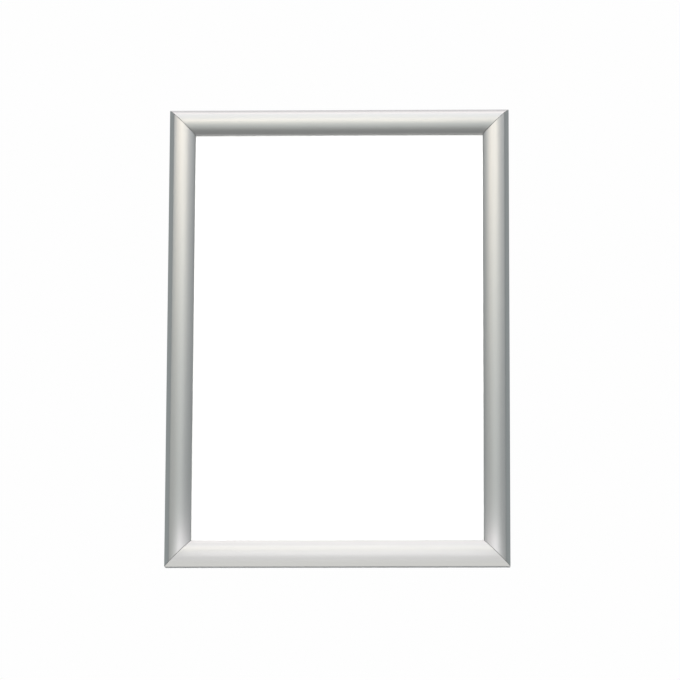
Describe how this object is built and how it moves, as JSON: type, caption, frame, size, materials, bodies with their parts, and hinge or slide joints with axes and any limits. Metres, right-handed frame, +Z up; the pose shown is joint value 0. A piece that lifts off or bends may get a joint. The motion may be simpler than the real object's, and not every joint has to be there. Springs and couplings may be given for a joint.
{
  "type": "poster frame",
  "caption": "Slim upright wall frame for a printed sheet, with curved silver rails mitred at the corners that snap open on hinges along the outer edge.",
  "frame": {"origin": "middle of the frame in width and height, on the wall plane that the backs of the rails rest on", "axes": "+Z up, +X to the viewer's right, the front of the frame faces -Y and the wall is on the +Y side"},
  "size_m": [0.327, 0.012, 0.45],
  "materials": {
    "cover_aluminium": "silver anodised, satin",
    "base_aluminium": "as extruded, matt",
    "spring_steel": "tempered strip, half gloss",
    "zinc_steel": "zinc plated, satin",
    "white_polystyrene": "white, matt",
    "clear_sheet": "clear, anti-glare"
  },
  "bodies": {
    "frame": {"base_rail_top": "base_aluminium", "base_rail_right": "base_aluminium", "base_rail_bottom": "base_aluminium", "base_rail_left": "base_aluminium", "corner_key_top_left": "zinc_steel", "corner_key_top_right": "zinc_steel", "corner_key_bottom_right": "zinc_steel", "corner_key_bottom_left": "zinc_steel", "spring_clip_top_1": "spring_steel", "spring_clip_top_2": "spring_steel", "spring_clip_right_1": "spring_steel", "spring_clip_right_2": "spring_steel", "spring_clip_right_3": "spring_steel", "spring_clip_bottom_1": "spring_steel", "spring_clip_bottom_2": "spring_steel", "spring_clip_left_1": "spring_steel", "spring_clip_left_2": "spring_steel", "spring_clip_left_3": "spring_steel", "back_panel": "white_polystyrene", "clear_cover_sheet": "clear_sheet"},
    "top_cover": {"snap_cover_top": "cover_aluminium"},
    "right_cover": {"snap_cover_right": "cover_aluminium"},
    "bottom_cover": {"snap_cover_bottom": "cover_aluminium"},
    "left_cover": {"snap_cover_left": "cover_aluminium"}
  },
  "joints": [
    {"name": "top_hinge", "type": "hinge", "parent": "frame", "child": "top_cover", "pos_m": [0, -0.0044, 0.2224], "axis": [-1, 0, 0], "range_deg": [0, 90], "deforming": ["spring_clip_top_1", "spring_clip_top_2"]},
    {"name": "right_hinge", "type": "hinge", "parent": "frame", "child": "right_cover", "pos_m": [0.1609, -0.0044, 0], "axis": [0, 0, 1], "range_deg": [0, 90], "deforming": ["spring_clip_right_1", "spring_clip_right_2", "spring_clip_right_3"]},
    {"name": "bottom_hinge", "type": "hinge", "parent": "frame", "child": "bottom_cover", "pos_m": [0, -0.0044, -0.2224], "axis": [1, 0, 0], "range_deg": [0, 90], "deforming": ["spring_clip_bottom_1", "spring_clip_bottom_2"]},
    {"name": "left_hinge", "type": "hinge", "parent": "frame", "child": "left_cover", "pos_m": [-0.1609, -0.0044, 0], "axis": [0, 0, -1], "range_deg": [0, 90], "deforming": ["spring_clip_left_1", "spring_clip_left_2", "spring_clip_left_3"]}
  ]
}
